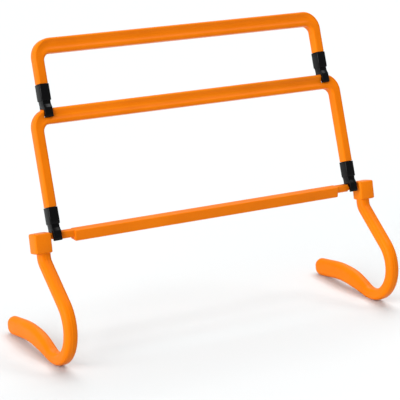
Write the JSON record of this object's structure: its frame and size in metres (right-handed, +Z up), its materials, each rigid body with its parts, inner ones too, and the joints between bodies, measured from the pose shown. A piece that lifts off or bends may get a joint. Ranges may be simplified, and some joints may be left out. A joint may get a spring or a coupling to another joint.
{
  "type": "agility hurdle",
  "caption": "Folding low agility hurdle: base bar on S-shaped legs, and two hoops with black clips that fold about round pins.",
  "frame": {"origin": "middle of the standing footprint, on the floor", "axes": "+X along the bars to the right, +Y to the back, where the hoops lean and the feet point, +Z up"},
  "size_m": [0.5084, 0.1817, 0.385],
  "materials": {
    "orange_plastic": "satin",
    "black_plastic": "satin"
  },
  "bodies": {
    "stand": {"base_bar": "orange_plastic", "elbow_left": "orange_plastic", "elbow_right": "orange_plastic", "leg_left": "orange_plastic", "leg_right": "orange_plastic"},
    "middle_section": {"middle_hoop": "orange_plastic", "middle_clip_left": "black_plastic", "middle_clip_right": "black_plastic"},
    "upper_section": {"upper_hoop": "orange_plastic", "upper_clip_left": "black_plastic", "upper_clip_right": "black_plastic"}
  },
  "joints": [
    {"name": "middle_hoop_fold", "type": "hinge", "parent": "stand", "child": "middle_section", "pos_m": [0, -0.0083, 0.1534], "axis": [-1, 0, 0], "range_deg": [-145, 100]},
    {"name": "upper_hoop_fold", "type": "hinge", "parent": "middle_section", "child": "upper_section", "pos_m": [0, 0.04119, 0.29712], "axis": [-1, 0, 0], "range_deg": [0, 95]}
  ]
}
